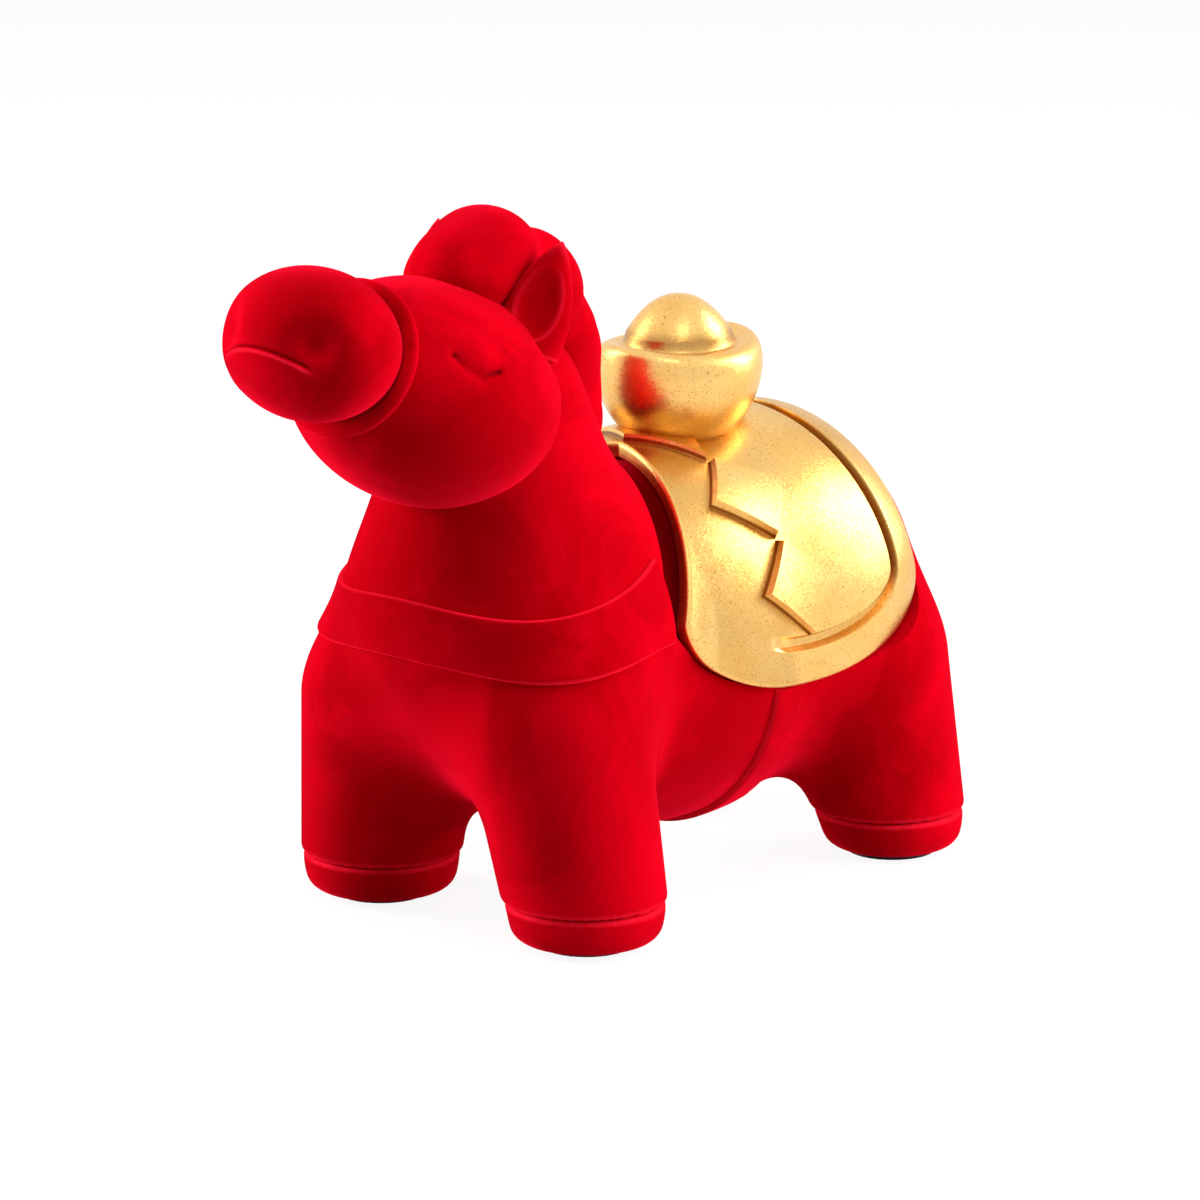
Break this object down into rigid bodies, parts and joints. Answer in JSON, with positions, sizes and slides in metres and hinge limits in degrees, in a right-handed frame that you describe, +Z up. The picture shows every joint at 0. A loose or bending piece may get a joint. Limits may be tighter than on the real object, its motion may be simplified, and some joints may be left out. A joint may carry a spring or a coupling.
{
  "type": "horse figurine",
  "caption": "Stout standing horse figurine covered in red velvet flock, with a gilded saddle blanket over its back and a golden boat-shaped ingot on top.",
  "frame": {"origin": "on the plane the horse stands on, under the middle of its outline", "axes": "+Z up, the horse faces -Y, its left side is +X"},
  "size_m": [0.0786, 0.166, 0.1296],
  "materials": {
    "velvet": "matt flocked velvet on cast resin",
    "gilt": "satin gold plate on cast resin",
    "felt": "dense felt"
  },
  "bodies": {
    "root": {"body": "velvet", "head": "velvet", "muzzle": "velvet", "noseband": "velvet", "left_ear": "velvet", "right_ear": "velvet", "mane": "velvet", "tail": "velvet", "breast_collar": "velvet", "girth": "velvet", "front_left_hoof": "velvet", "front_right_hoof": "velvet", "rear_left_hoof": "velvet", "rear_right_hoof": "velvet", "saddle_blanket": "gilt", "ingot": "gilt", "front_left_pad": "felt", "front_right_pad": "felt", "rear_left_pad": "felt", "rear_right_pad": "felt"}
  },
  "joints": []
}
